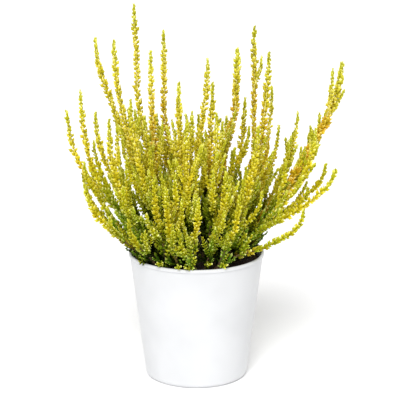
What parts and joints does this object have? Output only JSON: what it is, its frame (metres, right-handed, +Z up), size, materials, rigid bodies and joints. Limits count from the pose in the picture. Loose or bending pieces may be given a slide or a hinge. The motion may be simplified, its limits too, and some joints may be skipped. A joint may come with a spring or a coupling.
{
  "type": "potted heather",
  "caption": "Golden-leaved heather with upright leafy spires over a green foot, growing from dark peat in a tapered round white plastic nursery pot.",
  "frame": {"origin": "the centre of the pot's flat underside, on the pot's axis", "axes": "+Z up along the pot's axis, -Y the plant's front as pictured, +X to the right seen from the front"},
  "size_m": [0.241, 0.1787, 0.326],
  "materials": {
    "pot_plastic": "satin",
    "peat": "matte",
    "heather_foliage": "matte"
  },
  "bodies": {
    "root": {"pot": "pot_plastic", "soil": "peat", "leafy_stem_01": "heather_foliage", "leafy_stem_02": "heather_foliage", "leafy_stem_03": "heather_foliage", "leafy_stem_04": "heather_foliage", "leafy_stem_05": "heather_foliage", "leafy_stem_06": "heather_foliage", "leafy_stem_07": "heather_foliage", "leafy_stem_08": "heather_foliage", "leafy_stem_09": "heather_foliage", "leafy_stem_10": "heather_foliage", "leafy_stem_11": "heather_foliage", "leafy_stem_12": "heather_foliage", "leafy_stem_13": "heather_foliage", "leafy_stem_14": "heather_foliage", "leafy_stem_15": "heather_foliage", "leafy_stem_16": "heather_foliage", "leafy_stem_17": "heather_foliage", "leafy_stem_18": "heather_foliage", "leafy_stem_19": "heather_foliage", "leafy_stem_20": "heather_foliage", "leafy_stem_21": "heather_foliage", "leafy_stem_22": "heather_foliage", "leafy_stem_23": "heather_foliage", "leafy_stem_24": "heather_foliage", "leafy_stem_25": "heather_foliage", "leafy_stem_26": "heather_foliage", "leafy_stem_27": "heather_foliage", "leafy_stem_28": "heather_foliage", "leafy_stem_29": "heather_foliage", "leafy_stem_30": "heather_foliage", "leafy_stem_31": "heather_foliage", "leafy_stem_32": "heather_foliage", "leafy_stem_33": "heather_foliage", "leafy_stem_34": "heather_foliage", "leafy_stem_35": "heather_foliage", "leafy_stem_36": "heather_foliage", "leafy_stem_37": "heather_foliage", "leafy_stem_38": "heather_foliage", "leafy_stem_39": "heather_foliage", "leafy_stem_40": "heather_foliage", "leafy_stem_41": "heather_foliage", "leafy_stem_42": "heather_foliage", "leafy_stem_43": "heather_foliage", "leafy_stem_44": "heather_foliage", "leafy_stem_45": "heather_foliage", "leafy_stem_46": "heather_foliage", "leafy_stem_47": "heather_foliage", "leafy_stem_48": "heather_foliage", "leafy_stem_49": "heather_foliage", "leafy_stem_50": "heather_foliage", "leafy_stem_51": "heather_foliage", "leafy_stem_52": "heather_foliage", "leafy_stem_53": "heather_foliage"}
  },
  "joints": []
}
